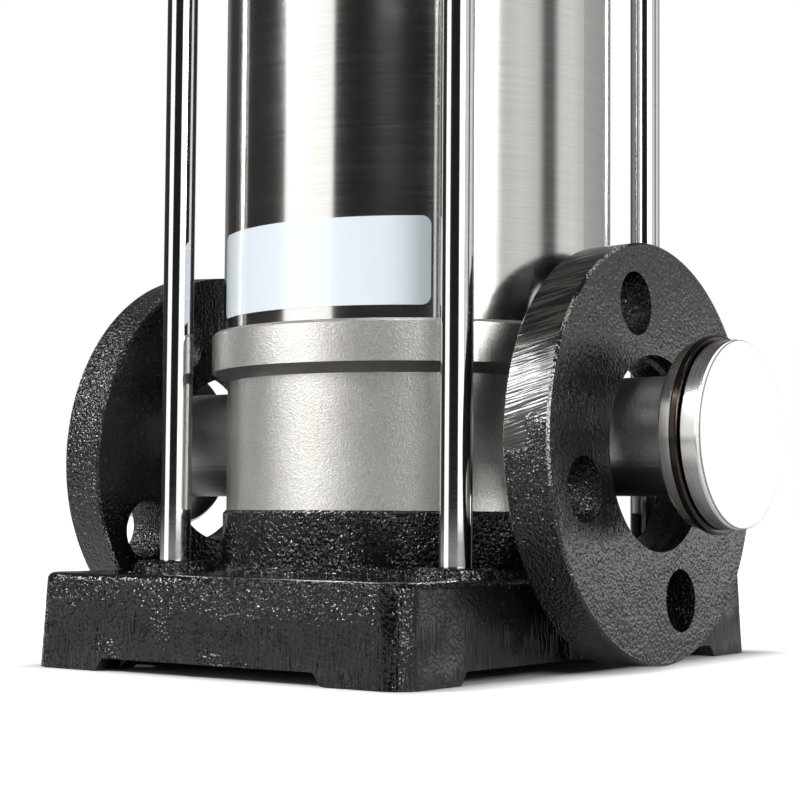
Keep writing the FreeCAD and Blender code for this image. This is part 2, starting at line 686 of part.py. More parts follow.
def impeller(low):
    """A closed impeller: eye ring, front shroud, backward curved blades, back shroud and hub."""
    front_top = low + BLADE_LOW + SHROUD_T
    back_top = low + BLADE_TOP + SHROUD_T
    eye = EYE_R - LOOSE
    front = turned([(eye - SHEET, low + OVERLAP), (eye, low + OVERLAP), (eye, low + BLADE_LOW),
                    (IMPELLER_R, low + BLADE_LOW), (IMPELLER_R, front_top), (eye - SHEET, front_top)])
    back = turned([(SHAFT_R + FIT, low + BLADE_LOW), (HUB_R, low + BLADE_LOW), (HUB_R, low + BLADE_TOP),
                   (IMPELLER_R, low + BLADE_TOP), (IMPELLER_R, back_top), (HUB_R, back_top),
                   (HUB_R, low + HUB_TOP), (SHAFT_R + FIT, low + HUB_TOP)])
    blade = arc_blade(EYE_R - LOOSE, IMPELLER_R - OVERLAP, -BLADE_TURN, BLADE_SPREAD, front_top - OVERLAP,
                      low + BLADE_TOP + OVERLAP)
    return fused([front, back] + ring_of(blade, IMPELLER_BLADES))


def stages():
    """The stack of chambers with their bushes, and the impellers and spacers on the shaft."""
    bushes = []
    spacers = []
    for index in range(STAGES):
        low = STACK_Z + index * STAGE_PITCH
        save("chamber_" + str(index + 1), chamber(low))
        save("impeller_" + str(index + 1), impeller(low))
        bushes.append(tube(BUSH_R, SPACER_R + FIT, low + DIFFUSER_Z, low + BUSH_TOP))
        spacer_top = low + STAGE_PITCH + BLADE_LOW
        if index == STAGES - 1:
            spacer_top = SEAL_HEAD_Z
        spacers.append(tube(SPACER_R, SHAFT_R + FIT, low + HUB_TOP, spacer_top))
    save("shaft_bushes", *bushes)
    save("impeller_spacers", *spacers)


def stack_ends():
    """The plate below the first chamber, the outlet guide above the last one and the clamping straps."""
    save("inlet_guide", tube(CHAMBER_R, EYE_R, BOWL_TOP_Z, STACK_Z))
    plate = tube(CHAMBER_R, RETURN_IN_R, STACK_TOP_Z, STACK_TOP_Z + SHEET)
    leg = tube(CHAMBER_R, CHAMBER_R - 4, STACK_TOP_Z + SHEET - OVERLAP, HEAD_PLATE_Z)
    leg = leg.common(box(0, 2 * CHAMBER_R, -LEG_W / 2, LEG_W / 2, STACK_TOP_Z, HEAD_PLATE_Z))
    save("outlet_guide", fused([plate] + ring_of(leg, LEGS, 45)))
    strap = box(-STRAP_W / 2, STRAP_W / 2, CHAMBER_R + SEAT, CHAMBER_R + SEAT + STRAP_T, BOWL_TOP_Z,
                STACK_TOP_Z + SHEET)
    save("clamping_straps", *ring_of(strap, 2))


def pump_shaft():
    """The pump shaft, with the collar that carries the impellers at its lower end."""
    collar_top = STACK_Z + BLADE_LOW
    collar = cylinder(HUB_R, collar_top - SHAFT_COLLAR_H, collar_top)
    shaft = cylinder(SHAFT_R, SHAFT_LOW_Z, SHAFT_SPLIT_Z - COUPLING_SPLIT / 2)
    shaft = shaft.makeChamfer(1.0, [top_edge(shaft)])
    save("pump_shaft", fused([shaft, collar]))


def shaft_seal():
    """The cartridge plate, its stationary seat and the turning seal head."""
    low = HEAD_TOP_Z
    bore = SEAL_BORE_R - SEAT
    plate = turned([(SHAFT_R + 1, low - SEAL_SPIGOT), (bore, low - SEAL_SPIGOT), (bore, low), (SEAL_PLATE_R, low),
                    (SEAL_PLATE_R, low + SEAL_PLATE_T), (SHAFT_R + 1, low + SEAL_PLATE_T)])
    save("seal_cartridge", plate)
    seat_top = low - SEAL_SPIGOT
    save("seal_seat_ring", tube(SEAT_R, SHAFT_R + 1, seat_top - SEAT_T, seat_top))
    step = SEAL_FACE_Z - 3
    head = turned([(SHAFT_R + FIT, SEAL_HEAD_Z), (SEAL_HEAD_R, SEAL_HEAD_Z), (SEAL_HEAD_R, step),
                   (SEAL_HEAD_R - 2, step), (SEAL_HEAD_R - 2, SEAL_FACE_Z), (SHAFT_R + FIT, SEAL_FACE_Z)])
    save("shaft_seal_head", head)


def pump_head():
    """The head: a ring over the sleeve's end and the plate that closes it, with the two plug bosses."""
    ring = turned([(SLEEVE_R + SEAT, HEAD_LOW_Z), (RING_R - 1, HEAD_LOW_Z), (RING_R, HEAD_LOW_Z + 1),
                   (RING_R, HEAD_TOP_Z - RING_CHAMFER), (RING_R - RING_CHAMFER, HEAD_TOP_Z), (SEAL_BORE_R, HEAD_TOP_Z),
                   (SEAL_BORE_R, HEAD_PLATE_Z), (SLEEVE_IN_R, HEAD_PLATE_Z), (SLEEVE_IN_R, SLEEVE_TOP_Z),
                   (SLEEVE_R + SEAT, SLEEVE_TOP_Z)])
    reach = RING_R + PLUG_BOSS_OUT
    front = along_y(plug_boss(reach, RING_R - 3), 0, HEAD_PLUG_Z)
    hole = along_y(cylinder(PLUG_R + SEAT, reach - PLUG_HEAD - 1 - LOOSE, reach + 1), 0, HEAD_PLUG_Z)
    body = fused([ring, front, mirrored(front)]).cut(hole.fuse(mirrored(hole)))
    groove_z = (HEAD_LOW_Z + SLEEVE_TOP_Z) / 2
    groove = tube(SLEEVE_R + SEAT + O_RING_GROOVE, SLEEVE_R, groove_z - O_RING_R - FIT, groove_z + O_RING_R + FIT)
    save("pump_head", body.cut(groove))


def lantern_radius(height):
    """The lantern's outer radius at a height."""
    share = (height - LANTERN_Z) / (STOOL_Z - LANTERN_Z)
    return LANTERN_R + share * (LANTERN_TOP_R - LANTERN_R)


def cone_shell(low, high, offset, thickness):
    """A conical sheet that follows the lantern at an offset."""
    inner_low = lantern_radius(low) + offset
    inner_high = lantern_radius(high) + offset
    return turned([(inner_low, low), (inner_low + thickness, low), (inner_high + thickness, high),
                   (inner_high, high)])


def motor_bracket():
    """The cast bracket between pump head and motor: lugs for the staybolts, a tapered lantern with windows."""
    adds = [cylinder(LANTERN_RING_R, HEAD_TOP_Z, LANTERN_Z + OVERLAP)]
    for x, y in stay_places():
        lug = cylinder(LUG_R, HEAD_TOP_Z, LUG_TOP_Z, x, y)
        adds.append(lug.makeChamfer(1.0, [top_edge(lug)]))
    arm = box(0, math.hypot(STAY_X, STAY_Y), -LUG_R + 2, LUG_R - 2, HEAD_TOP_Z, LANTERN_Z)
    for x, y in stay_places():
        adds.append(turned_by(arm, math.degrees(math.atan2(y, x))))
    adds.append(turned([(0, LANTERN_Z), (LANTERN_R, LANTERN_Z), (LANTERN_TOP_R, STOOL_Z), (0, STOOL_Z)]))
    adds.append(turned([(0, STOOL_Z - OVERLAP), (LANTERN_TOP_R - 1, STOOL_Z - OVERLAP),
                        (LANTERN_TOP_R - 1, STOOL_Z), (STOOL_FLANGE_R, STOOL_Z),
                        (STOOL_FLANGE_R, MOTOR_Z - 1), (STOOL_FLANGE_R - 1, MOTOR_Z), (0, MOTOR_Z)]))
    body = fused(adds)
    inside = turned([(0, HEAD_TOP_Z - 1), (SEAL_PLATE_R + 4, HEAD_TOP_Z - 1), (SEAL_PLATE_R + 4, LANTERN_Z),
                     (LANTERN_R - LANTERN_WALL, LANTERN_Z), (LANTERN_TOP_R - LANTERN_WALL, STOOL_Z),
                     (LANTERN_TOP_R - LANTERN_WALL, MOTOR_Z - SPIGOT_T - 1), (SPIGOT_R + SEAT, MOTOR_Z - SPIGOT_T - 1),
                     (SPIGOT_R + SEAT, MOTOR_Z + 1), (0, MOTOR_Z + 1)])
    cuts = [inside]
    window = box(-WINDOW_W / 2, WINDOW_W / 2, -2 * LANTERN_R, 2 * LANTERN_R, LANTERN_Z + WINDOW_LOW,
                 STOOL_Z - WINDOW_HIGH)
    edges = [edge for edge in window.Edges if abs(edge.Vertexes[0].Point.y - edge.Vertexes[-1].Point.y) > 1]
    cuts.append(window.makeFillet(WINDOW_CORNER_R, edges))
    for x, y in stay_places():
        cuts.append(cylinder(STAY_THREAD_R + LOOSE, HEAD_TOP_Z - 1, LUG_TOP_Z + 1, x, y))
    cuts.extend(motor_screw_holes(STOOL_Z - 2, MOTOR_Z + 1, MOTOR_SCREW_R + SEAT))
    save("motor_bracket", body.cut(cuts[0].multiFuse(cuts[1:])))


def motor_screw_holes(low, high, radius):
    """Round bars at the motor flange's four screw places."""
    return ring_of(cylinder(radius, low, high, MOTOR_SCREW_PCD / 2, 0), 4, 45)


def coupling_guards():
    """The two curved sheets with slots that close the bracket's windows."""
    low = LANTERN_Z + GUARD_LOW
    high = STOOL_Z - MOTOR_SCREW_HEAD - GUARD_LOW
    shell = cone_shell(low, high, SEAT, GUARD_T)
    half = math.tan(math.radians(GUARD_SPAN / 2)) * LANTERN_R
    wedge = Part.Face(Part.makePolygon([Vector(0, 0, low - 1), Vector(half * 2, LANTERN_R * 2, low - 1),
                                        Vector(-half * 2, LANTERN_R * 2, low - 1), Vector(0, 0, low - 1)]))
    sheet = shell.common(wedge.extrude(Vector(0, 0, high - low + 2)))
    pitch = (high - low - 2 * GUARD_END) / (GUARD_SLOTS - 1)
    for index in range(GUARD_SLOTS):
        z = low + GUARD_END + index * pitch
        slot = box(-GUARD_SLOT_W / 2, GUARD_SLOT_W / 2, 0, 2 * LANTERN_R, z - GUARD_SLOT_H / 2, z + GUARD_SLOT_H / 2)
        sheet = sheet.cut(slot)
    save("coupling_guard_rear", sheet)
    save("coupling_guard_front", mirrored(sheet))


def coupling():
    """The split coupling that clamps both shafts, and its four screws."""
    body = tube(COUPLING_R, SHAFT_R + FIT, COUPLING_Z, COUPLING_TOP_Z)
    body = body.cut(cylinder(MOTOR_SHAFT_R + FIT, SHAFT_SPLIT_Z, COUPLING_TOP_Z + 1))
    reach = COUPLING_R + 1
    half = body.common(box(-reach, reach, COUPLING_SPLIT / 2, reach, COUPLING_Z, COUPLING_TOP_Z))
    screws = []
    head_y = -COUPLING_R + COUPLING_SEAT
    cuts = []
    for sx in (-1, 1):
        for height in (COUPLING_Z + COUPLING_SCREW_END, COUPLING_TOP_Z - COUPLING_SCREW_END):
            x = sx * COUPLING_SCREW_X
            cuts.append(along_y(cylinder(COUPLING_SCREW_R + SEAT, -COUPLING_R - 1, COUPLING_R + 1), 0, height, x))
            seat = cylinder(COUPLING_HEAD_R + LOOSE, -COUPLING_R - 1, head_y)
            cuts.append(along_y(seat, 0, height, x))
            shank = cylinder(COUPLING_SCREW_R, head_y - OVERLAP, COUPLING_R - COUPLING_SCREW_STOP)
            head = cylinder(COUPLING_HEAD_R, head_y - COUPLING_HEAD_H, head_y)
            screws.append(along_y(fused([shank, head]), 0, height, x))
    holes = cuts[0].multiFuse(cuts[1:])
    other = body.common(box(-reach, reach, -reach, -COUPLING_SPLIT / 2, COUPLING_Z, COUPLING_TOP_Z))
    save("coupling_half_a", half.cut(holes))
    save("coupling_half_b", other.cut(holes))
    save("coupling_screws", *screws)


def motor_shell():
    """The motor's end shields, finned frame and fan cowl."""
    bore = BEARING_R + FIT
    shaft_hole = MOTOR_SHAFT_R + 1.5
    front = turned([(shaft_hole, MOTOR_Z - SPIGOT_T), (SPIGOT_R, MOTOR_Z - SPIGOT_T), (SPIGOT_R, MOTOR_Z),
                    (MOTOR_FLANGE_R, MOTOR_Z), (MOTOR_FLANGE_R, MOTOR_Z + SHIELD_T),
                    (SHIELD_R, MOTOR_Z + SHIELD_T + 3),
                    (SHIELD_R, SHIELD_TOP_Z), (FRAME_R - FRAME_WALL - SEAT, SHIELD_TOP_Z),
                    (FRAME_R - FRAME_WALL - SEAT, SHIELD_TOP_Z + 3), (FRAME_R - FRAME_WALL - 5, SHIELD_TOP_Z + 3),
                    (FRAME_R - FRAME_WALL - 5, MOTOR_Z + SHIELD_T), (BEARING_R + 5, MOTOR_Z + SHIELD_T),
                    (BEARING_R + 5, FRONT_BEARING_Z + BEARING_T), (bore, FRONT_BEARING_Z + BEARING_T),
                    (bore, FRONT_BEARING_Z), (shaft_hole, FRONT_BEARING_Z)])
    holes = motor_screw_holes(MOTOR_Z - 1, MOTOR_Z + SHIELD_T - 1, MOTOR_SCREW_R + SEAT)
    save("motor_flange_shield", front.cut(holes[0].multiFuse(holes[1:])))
    rear_hole = BEARING_BORE_R + 1.0
    rear = turned([(rear_hole, REAR_TOP_Z), (BEARING_R + 5, REAR_TOP_Z), (FRAME_R - 4, REAR_TOP_Z - 5),
                   (SHIELD_R, REAR_TOP_Z - 5), (SHIELD_R, FRAME_TOP_Z), (FRAME_R - FRAME_WALL - SEAT, FRAME_TOP_Z),
                   (FRAME_R - FRAME_WALL - SEAT, FRAME_TOP_Z - 3), (FRAME_R - FRAME_WALL - 5, FRAME_TOP_Z - 3),
                   (BEARING_R + 5, FRAME_TOP_Z + 2), (BEARING_R + 5, REAR_BEARING_Z), (bore, REAR_BEARING_Z),
                   (bore, REAR_BEARING_Z + BEARING_T), (rear_hole, REAR_BEARING_Z + BEARING_T)])
    save("motor_rear_shield", rear)
    core = cylinder(FRAME_R, SHIELD_TOP_Z, FRAME_TOP_Z)
    fin = box(FRAME_R - 1, FIN_R, -FIN_T / 2, FIN_T / 2, SHIELD_TOP_Z + 1, FRAME_TOP_Z)
    pad = box(-PAD_SIDE / 2, PAD_SIDE / 2, -PAD_Y, -FRAME_R / 2, BOX_Z - PAD_SIDE / 2, BOX_Z + PAD_SIDE / 2)
    frame = fused([core, pad] + ring_of(fin, FINS, 180.0 / FINS))
    save("motor_frame", frame.cut(cylinder(FRAME_R - FRAME_WALL, SHIELD_TOP_Z - 1, FRAME_TOP_Z + 1)))
    cowl_in = COWL_R - COWL_WALL
    face = COWL_TOP_Z - COWL_WALL
    cowl = turned([(0, COWL_TOP_Z), (COWL_R - COWL_EDGE, COWL_TOP_Z), (COWL_R, COWL_TOP_Z - COWL_EDGE),
                   (COWL_R, COWL_Z), (cowl_in, COWL_Z), (cowl_in, COWL_TOP_Z - COWL_EDGE),
                   (COWL_R - COWL_EDGE, face), (0, face)])
    slot = box(COWL_SLOT_IN, COWL_SLOT_OUT, -COWL_SLOT_W / 2, COWL_SLOT_W / 2, face - 1, COWL_TOP_Z + 1)
    slots = ring_of(slot, COWL_SLOTS)
    save("fan_cowl", cowl.cut(slots[0].multiFuse(slots[1:])))


def motor_screws():
    """The four hexagon screws that hold the motor on the bracket."""
    screws = []
    for turn in (45, 135, 225, 315):
        radius = MOTOR_SCREW_PCD / 2
        shank = cylinder(MOTOR_SCREW_R, STOOL_Z - OVERLAP, MOTOR_Z + SHIELD_T - 2, radius, 0)
        head = hexagon(MOTOR_SCREW_FLATS, STOOL_Z - MOTOR_SCREW_HEAD, STOOL_Z, radius, 0)
        screws.append(turned_by(fused([shank, head]), turn))
    save("motor_screws", *screws)


def motor_inside():
    """Stator, rotor, shaft, bearings and fan."""
    core_top = CORE_Z + CORE_LEN
    save("stator_core", tube(FRAME_R - FRAME_WALL - FIT, CORE_BORE_R, CORE_Z, core_top))
    save("stator_windings", tube(WINDING_R, WINDING_IN_R, CORE_Z - WINDING_H, CORE_Z),
         tube(WINDING_R, WINDING_IN_R, core_top, core_top + WINDING_H))
    save("rotor_core", tube(ROTOR_R, ROTOR_SHAFT_R + FIT, CORE_Z - 4, core_top + 4))
    shaft = turned([(0, SHAFT_SPLIT_Z + COUPLING_SPLIT / 2), (MOTOR_SHAFT_R, SHAFT_SPLIT_Z + COUPLING_SPLIT / 2),
                    (MOTOR_SHAFT_R, FRONT_BEARING_Z), (BEARING_BORE_R, FRONT_BEARING_Z),
                    (BEARING_BORE_R, FRONT_BEARING_Z + BEARING_T), (ROTOR_SHAFT_R, FRONT_BEARING_Z + BEARING_T),
                    (ROTOR_SHAFT_R, REAR_BEARING_Z), (BEARING_BORE_R, REAR_BEARING_Z),
                    (BEARING_BORE_R, REAR_BEARING_Z + BEARING_T), (FAN_SHAFT_R, REAR_BEARING_Z + BEARING_T),
                    (FAN_SHAFT_R, FAN_Z + FAN_H), (0, FAN_Z + FAN_H)])
    save("motor_shaft", shaft)
    outer = []
    inner = []
    balls = []
    race = BEARING_R - BEARING_RING
    track = race - 2 * BALL_R - 2 * SEAT
    for low in (FRONT_BEARING_Z, REAR_BEARING_Z):
        outer.append(tube(BEARING_R, race, low, low + BEARING_T))
        inner.append(tube(track, BEARING_BORE_R + FIT, low, low + BEARING_T))
        ball = Part.makeSphere(BALL_R, Vector((race + track) / 2, 0, low + BEARING_T / 2))
        balls.extend(ring_of(ball, BALLS))
    save("bearing_outer_rings", *outer)
    save("bearing_inner_rings", *inner)
    save("bearing_balls", *balls)
    disc = cylinder(FAN_R, FAN_Z, FAN_Z + FAN_DISC)
    hub = cylinder(FAN_HUB_R, FAN_Z, FAN_Z + FAN_H)
    blade = box(FAN_HUB_R - 1, FAN_R, -1, 1, FAN_Z + FAN_DISC - OVERLAP, FAN_Z + FAN_H)
    fan = fused([disc, hub] + ring_of(blade, FAN_BLADES))
    save("cooling_fan", fan.cut(cylinder(FAN_SHAFT_R + FIT, FAN_Z - 1, FAN_Z + FAN_H + 1)))


def terminal_box():
    """The terminal box on the motor's side, its lid and the cable gland."""
    def upright(shape):
        return moved(along_y(shape), z=BOX_Z)
    back = -PAD_Y
    front = back - BOX_DEPTH
    body = rounded_block(BOX_SIDE, BOX_SIDE, BOX_CORNER_R, front, back)
    inner = BOX_SIDE - 2 * BOX_WALL
    room = rounded_block(inner, inner, BOX_CORNER_R - BOX_WALL, front - 1, back - BOX_WALL)
    box_shape = upright(body.cut(room))
    gland_y = front + BOX_DEPTH / 2
    bore = moved(along_x(cylinder(GLAND_R - 2, BOX_SIDE / 2 - 2 * BOX_WALL, BOX_SIDE / 2 + 1)), y=gland_y, z=BOX_Z)
    save("terminal_box", box_shape.cut(bore))
    lid = rounded_block(BOX_SIDE, BOX_SIDE, BOX_CORNER_R, front - LID_T, front)
    outer_face = min(lid.Faces, key=lambda face: face.CenterOfMass.z)
    lid = lid.makeFillet(LID_T / 3, outer_face.Edges)
    save("terminal_box_lid", upright(lid))
    side = BOX_SIDE / 2
    thread = cylinder(GLAND_R - 2 - SEAT, side - BOX_WALL, side + 1)
    nut = hexagon(GLAND_FLATS, side, side + GLAND_NUT_H)
    dome = turned([(0, side + GLAND_NUT_H - OVERLAP), (GLAND_R, side + GLAND_NUT_H - OVERLAP),
                   (GLAND_R, side + GLAND_LEN - 4), (GLAND_R - 3, side + GLAND_LEN), (0, side + GLAND_LEN)])
    gland = fused([thread, nut, dome]).cut(cylinder(GLAND_BORE_R, side - BOX_WALL - 1, side + GLAND_LEN + 1))
    save("cable_gland", moved(along_x(gland), y=gland_y, z=BOX_Z))


def ports():
    """The loose flanges and the covers of both ports."""
    cover = port_cover()
    save("outlet_port_cover", cover)
    save("inlet_port_cover", mirrored(cover))
    save("outlet_flange", loose_flange(OUTLET_BACK, OUTLET_DROP, OUTLET_LEAN, OUTLET_TURN))
    save("inlet_flange", mirrored(loose_flange(INLET_BACK, INLET_DROP, INLET_LEAN, INLET_TURN)))


def build():
    """Every sub-part, from the base upwards."""
    os.makedirs("parts", exist_ok=True)
    base_plate()
    casing()
    ferrules()
    retaining_rings()
    ports()
    plugs()
    sleeve()
    staybolts()
    stages()
    stack_ends()
    pump_shaft()
    shaft_seal()
    pump_head()
    motor_bracket()
    coupling_guards()
    coupling()
    motor_shell()
    motor_screws()
    motor_inside()
    terminal_box()


build()
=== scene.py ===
import json
import math

import bmesh
import bpy
from mathutils import Matrix, Vector
from mathutils.bvhtree import BVHTree


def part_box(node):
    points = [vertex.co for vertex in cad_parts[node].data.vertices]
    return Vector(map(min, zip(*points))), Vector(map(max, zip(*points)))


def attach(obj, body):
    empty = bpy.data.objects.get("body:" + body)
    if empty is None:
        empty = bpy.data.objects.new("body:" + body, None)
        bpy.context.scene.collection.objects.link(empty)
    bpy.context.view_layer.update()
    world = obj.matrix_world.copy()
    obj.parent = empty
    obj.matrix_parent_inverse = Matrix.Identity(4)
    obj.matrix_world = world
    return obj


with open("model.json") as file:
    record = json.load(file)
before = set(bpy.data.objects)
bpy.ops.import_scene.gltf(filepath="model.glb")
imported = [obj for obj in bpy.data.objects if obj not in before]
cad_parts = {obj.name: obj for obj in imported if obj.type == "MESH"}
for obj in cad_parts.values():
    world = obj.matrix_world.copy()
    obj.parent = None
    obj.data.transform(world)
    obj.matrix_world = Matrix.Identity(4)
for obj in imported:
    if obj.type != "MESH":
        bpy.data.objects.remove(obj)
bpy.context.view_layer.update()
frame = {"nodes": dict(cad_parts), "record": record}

# The photograph's camera, in metres and degrees
IMAGE_PX = 800
FOCAL_PX = 1921.0
SENSOR_MM = 36.0
CAMERA_AZIMUTH = 35.31
CAMERA_DISTANCE = 0.6865
CAMERA_HEIGHT = 0.0498
CAMERA_YAW = 0.49
CAMERA_PITCH = 3.5
CAMERA_ROLL = 0.43
CLIP_START = 0.01

# Places that the materials and the small pieces share with the frame
SLEEVE_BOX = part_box("outer_sleeve")
SLEEVE_R = (SLEEVE_BOX[1][0] - SLEEVE_BOX[0][0]) / 2
FLANGE_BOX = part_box("outlet_flange")
FLANGE_Z = (FLANGE_BOX[0][2] + FLANGE_BOX[1][2]) / 2
FLANGE_EDGE_R = (FLANGE_BOX[1][1] - FLANGE_BOX[0][1]) / 2
RIM_BEGINS = FLANGE_EDGE_R - 0.004
RIM_FULL = FLANGE_EDGE_R - 0.002

# The base's walls are dressed below a height, and the outlet flange's rim is ground above a wavering one
DRESSED_LOW = 0.015
DRESSED_HIGH = 0.024
GROUND_LOW = 0.066
GROUND_HIGH = 0.072
GROUND_WAVER = 0.010

# The bare label on the sleeve
LABEL_LENGTH = 0.094
LABEL_HEIGHT = 0.029
LABEL_LOW_Z = 0.1185
LABEL_CORNER = 0.003
LABEL_THICK = 0.00025
LABEL_STEPS = 64

# The small screws of the guards, the fan cowl and the terminal box lid
SCREW_R = 0.0027
LID_SCREW_R = 0.0032
GUARD_SCREW_TURN = 46
GUARD_SCREW_IN = 0.0045
COWL_SCREW_IN = 0.006
COWL_SCREW_TURNS = (45, 135, 225, 315)
LID_SCREW_IN = 0.0105
SCREW_SIDES = 30

# The search for a screw's seat starts this far out
OUTSIDE = 0.2

# A screw head's rings: reach and height as shares of its radius, and whether the ring is the socket's
SCREW_PROFILE = [
    (1.0, 0.0, False), (1.0, 0.22, False), (0.93, 0.42, False), (0.78, 0.58, False), (0.60, 0.66, False),
    (0.46, 0.66, True), (0.46, 0.24, True),
]

# The floor: a pale sheet round the pump, a darker floor beyond it, and a pale backdrop further out
FLOOR_HALF = 8.0
FLOOR_DROP = 0.0002
SHEET_REACH = 0.42
SHEET_FADE = 0.04
BACKDROP_REACH = 1.3
BACKDROP_FADE = 0.2
SHEET_GREY = 0.60
DARK_GREY = 0.04

# A glow on the floor that only the camera sees: it starts beside the base plate and grows outwards
FOOTPRINT = [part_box("base_plate")[1][0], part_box("base_plate")[1][1]]
SHADE_REACH = 0.02
GLOW_FROM = 0.22
GLOW_LOW = 0.80
GLOW_HIGH = 1.2

# What the studio shows to a reflection, by direction: degrees to the right of the camera, and strength
STUDIO_BANDS = [
    (-180, 0.25), (-158, 0.2), (-150, 0.05), (-92, 0.03), (-50, 0.05), (-38, 0.016), (9, 0.016), (14, 2.0),
    (44, 2.0), (49, 0.72), (62, 0.90), (74, 0.76), (79, 0.13), (86, 0.13),
    (91, 0.9), (104, 0.9), (118, 0.52), (140, 0.42), (180, 0.25),
]

# The bands end at a height in degrees and fade into a dark ceiling above it
BANDS_TOP = 25
BANDS_FADE = 9
CEILING_GREY = 0.05

# The even light that matt surfaces get from all around
EVEN_LIGHT = 0.40

# Upright soft boxes on the floor: degrees to the right of the camera, distance, width, height and watts
SOFT_BOXES = {
    "left_box": (-64.6, 0.9, 0.53, 0.72, 1.75),
    "right_strip": (109, 1.2, 0.6, 0.2, 0.6),
}

# Lamps aimed at a point on the pump's axis: degrees to the right and up, distance, width, height and watts
LAMP_AIM_Z = 0.15
LAMPS = {
    "key_light": (-79, 31, 1.6, 0.45, 0.45, 23),
    "front_light": (-18, 34, 1.6, 0.3, 0.3, 3),
    "fill_light": (31, 19, 1.7, 0.6, 0.6, 17),
    "top_light": (-10, 82, 1.8, 0.5, 0.5, 6),
}

# The sockets of a mix node that hold its two colours and its mixed colour
MIX_FIRST = 6
MIX_SECOND = 7
MIX_RESULT = 2

COAT_ROUGHNESS = 0.12
QUARTER_TURN = 0.25
WHITE = (1.0, 1.0, 1.0, 1.0)


def grey(level):
    """A neutral colour."""
    return (level, level, level, 1.0)


def darker(colour, share):
    """A colour with less of each of its parts."""
    return tuple(part * share for part in colour[:3]) + (1,)


class Nodes:
    """A node tree, with short calls to add and join its nodes."""

    def __init__(self, tree):
        self.tree = tree

    def node(self, kind, **settings):
        made = self.tree.nodes.new(kind)
        for key, value in settings.items():
            setattr(made, key, value)
        return made

    def join(self, source, target):
        self.tree.links.new(source, target)

    def put(self, target, value):
        """Gives an input a value, or joins it to an output."""
        if isinstance(value, bpy.types.NodeSocket):
            self.join(value, target)
        else:
            target.default_value = value

    def split(self, vector):
        """A vector's three parts, as outputs named X, Y and Z."""
        made = self.node("ShaderNodeSeparateXYZ")
        self.join(vector, made.inputs[0])
        return made.outputs

    def maths(self, kind, first, second=0.0):
        made = self.node("ShaderNodeMath", operation=kind)
        self.put(made.inputs[0], first)
        self.put(made.inputs[1], second)
        return made.outputs[0]

    def plus(self, first, second):
        return self.maths("ADD", first, second)

    def minus(self, first, second):
        return self.maths("SUBTRACT", first, second)

    def times(self, first, second):
        return self.maths("MULTIPLY", first, second)

    def rest(self, share):
        """What a share leaves of one."""
        return self.maths("SUBTRACT", 1.0, share)

    def absolute(self, value):
        return self.maths("ABSOLUTE", value)

    def length(self, first, second):
        """The straight distance for a step along and a step across."""
        squares = self.plus(self.maths("POWER", first, 2.0), self.maths("POWER", second, 2.0))
        return self.maths("SQRT", squares)

    def ranged(self, value, low, high, to_low, to_high):
        """Maps the values between low and high onto another range, and holds its ends beyond them."""
        made = self.node("ShaderNodeMapRange")
        self.join(value, made.inputs["Value"])
        made.inputs["From Min"].default_value = low
        made.inputs["From Max"].default_value = high
        made.inputs["To Min"].default_value = to_low
        made.inputs["To Max"].default_value = to_high
        return made.outputs["Result"]

    def rise(self, value, low, high):
        return self.ranged(value, low, high, 0.0, 1.0)

    def fall(self, value, low, high):
        return self.ranged(value, low, high, 1.0, 0.0)

    def spread(self, noise, low, high):
        """A noise's usual values, spread between low and high."""
        return self.ranged(noise, 0.3, 0.7, low, high)

    def mixed(self, share, first, second):
        """The first colour, with a share of the second."""
        made = self.node("ShaderNodeMix", data_type="RGBA")
        self.put(made.inputs[0], share)
        self.put(made.inputs[MIX_FIRST], first)
        self.put(made.inputs[MIX_SECOND], second)
        return made.outputs[MIX_RESULT]

    def either(self, share, first, second):
        """The first shader, with a share of the second."""
        made = self.node("ShaderNodeMixShader")
        self.join(share, made.inputs[0])
        self.join(first, made.inputs[1])
        self.join(second, made.inputs[2])
        return made.outputs[0]


